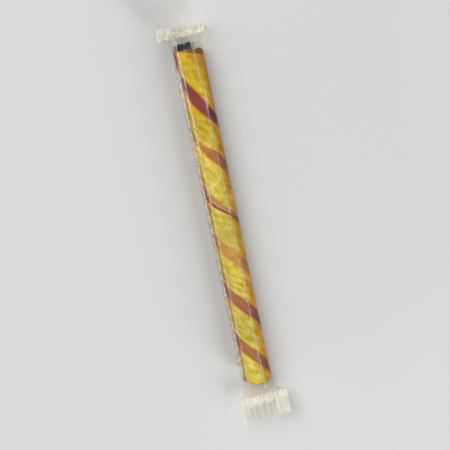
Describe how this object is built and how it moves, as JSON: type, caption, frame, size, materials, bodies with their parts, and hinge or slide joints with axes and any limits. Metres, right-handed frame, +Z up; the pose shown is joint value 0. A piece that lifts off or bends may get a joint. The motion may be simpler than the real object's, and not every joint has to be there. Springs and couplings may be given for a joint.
{
  "type": "hard candy stick",
  "caption": "Straight round hard candy stick with slanting stripes, sealed in a clear flow wrap with a flat crimped fin at each end, lying on its back.",
  "frame": {"origin": "on the floor, below the middle of the object's box", "axes": "+Y along the stick towards its top end, whose fin is turned up; +Z up, the side that shows; the film's ear is at -X"},
  "size_m": [0.0194, 0.1526, 0.0127],
  "materials": {
    "amber_candy": "translucent amber sugar with slanting maroon stripes, seen through film",
    "clear_film": "thin clear glossy film, creased and crimped"
  },
  "bodies": {
    "root": {"wrapped_stick": "amber_candy"}
  },
  "joints": []
}
